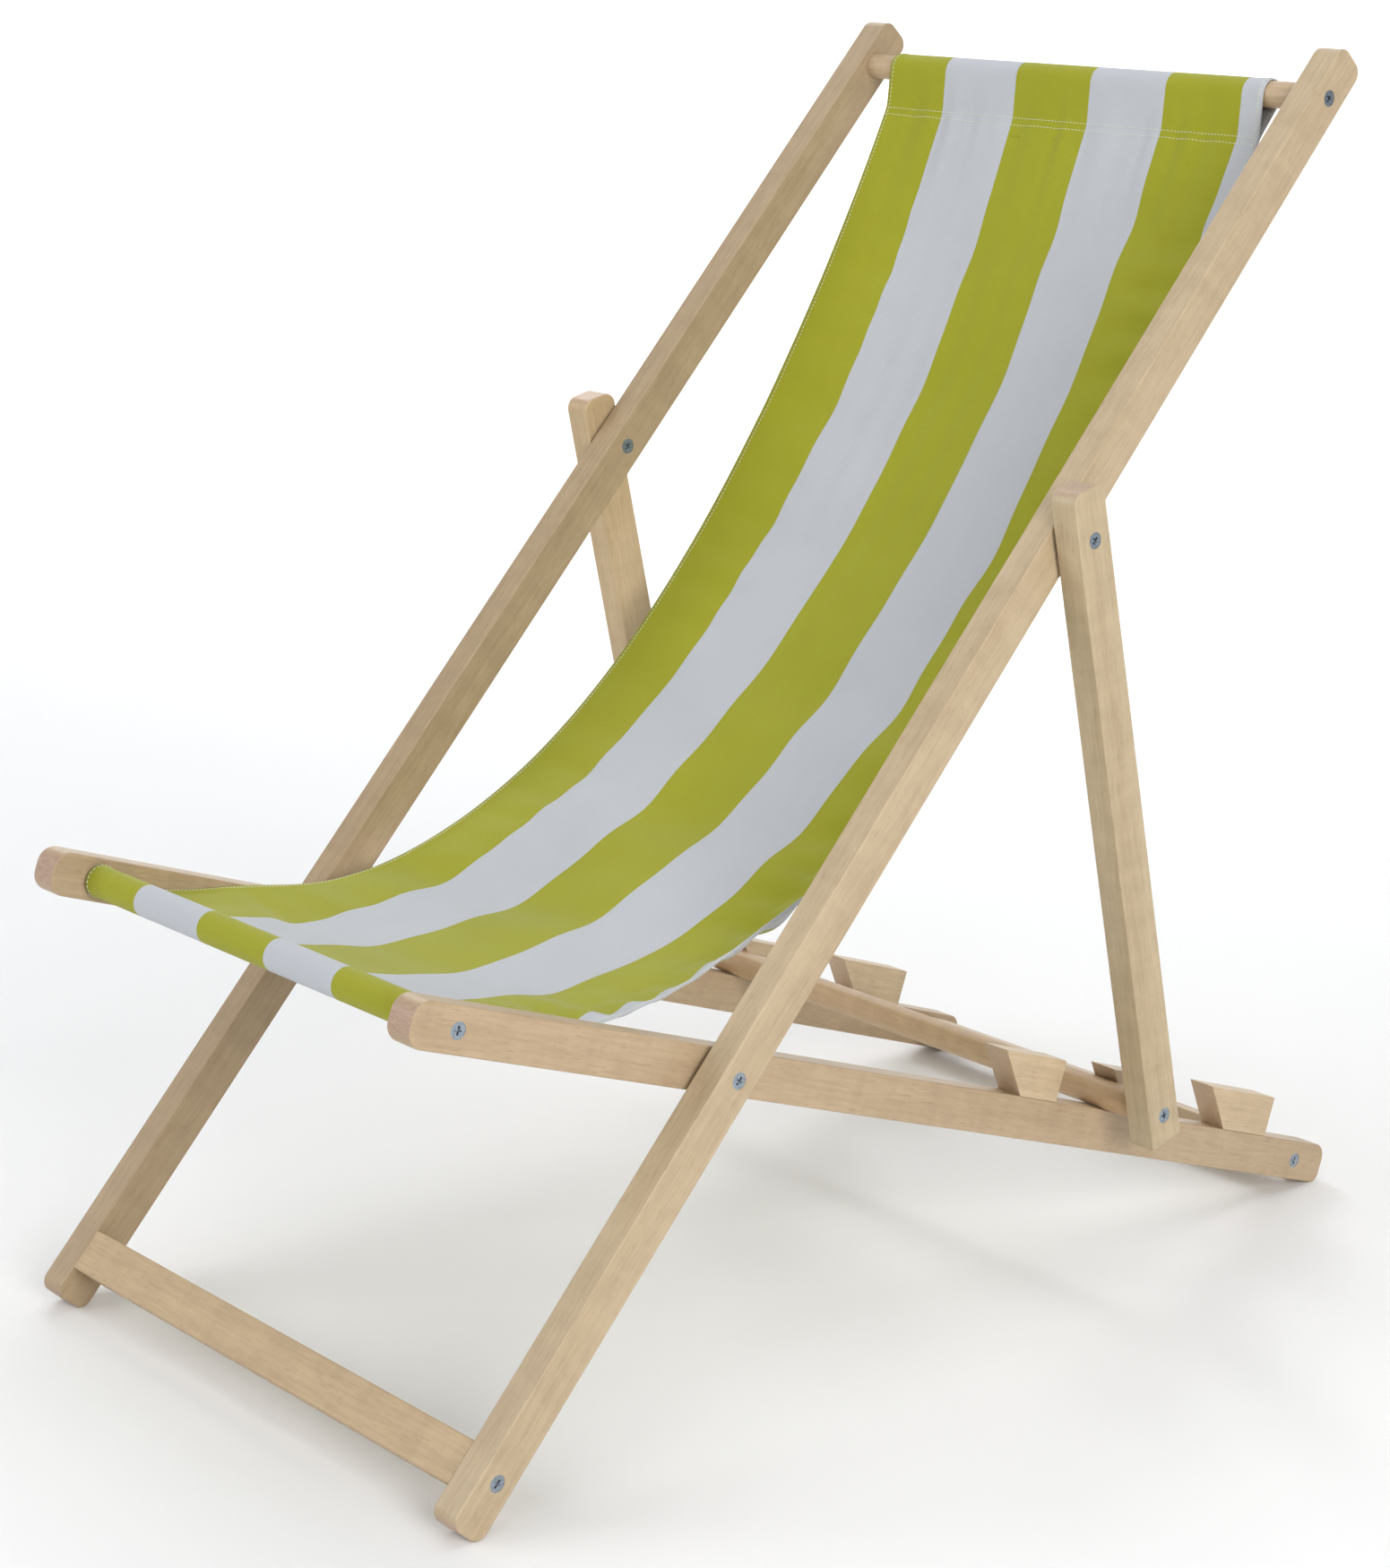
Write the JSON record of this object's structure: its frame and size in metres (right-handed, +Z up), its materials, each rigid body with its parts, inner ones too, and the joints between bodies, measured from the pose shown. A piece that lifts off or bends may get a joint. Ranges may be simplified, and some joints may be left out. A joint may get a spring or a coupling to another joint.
{
  "type": "folding deck chair",
  "caption": "Folding wooden deck chair with a striped cloth sling, a back frame, a notched seat frame and a swinging prop frame.",
  "frame": {"origin": "middle of the bounding box on the floor, chair opened and standing", "axes": "+Z up, -Y towards the sitter's feet, +X to the side"},
  "size_m": [0.564, 0.9732, 0.9522],
  "materials": {
    "beech": "satin varnished beech",
    "zinc": "bright zinc plated steel",
    "cloth": "striped woven canvas"
  },
  "bodies": {
    "back_frame": {"back_rail_left": "beech", "back_rail_right": "beech", "top_dowel": "beech", "foot_crossbar": "beech", "top_dowel_screws": "zinc", "foot_crossbar_screws": "zinc", "main_pivot_bolts": "zinc", "main_pivot_sleeves": "zinc", "main_pivot_spacers": "zinc", "prop_pivot_bolts": "zinc", "prop_pivot_sleeves": "zinc", "prop_pivot_washers": "zinc", "sling": "cloth"},
    "seat_frame": {"seat_rail_left": "beech", "seat_rail_right": "beech", "front_dowel": "beech", "rear_crossbar": "beech", "front_dowel_screws": "zinc", "rear_crossbar_screws": "zinc", "notch_block_front_left": "beech", "notch_block_front_right": "beech", "notch_block_middle_left": "beech", "notch_block_middle_right": "beech", "notch_block_rear_left": "beech", "notch_block_rear_right": "beech"},
    "prop_frame": {"prop_left": "beech", "prop_right": "beech", "prop_crossbar": "beech", "prop_crossbar_screws": "zinc"}
  },
  "joints": [
    {"name": "fold", "type": "hinge", "parent": "back_frame", "child": "seat_frame", "pos_m": [0, -0.22535, 0.26751], "axis": [1, 0, 0], "range_deg": [0, 67.1], "deforming": ["sling"]},
    {"name": "prop_swing", "type": "hinge", "parent": "back_frame", "child": "prop_frame", "pos_m": [0, 0.09125, 0.6115], "axis": [1, 0, 0], "range_deg": [0, 124.04]}
  ]
}
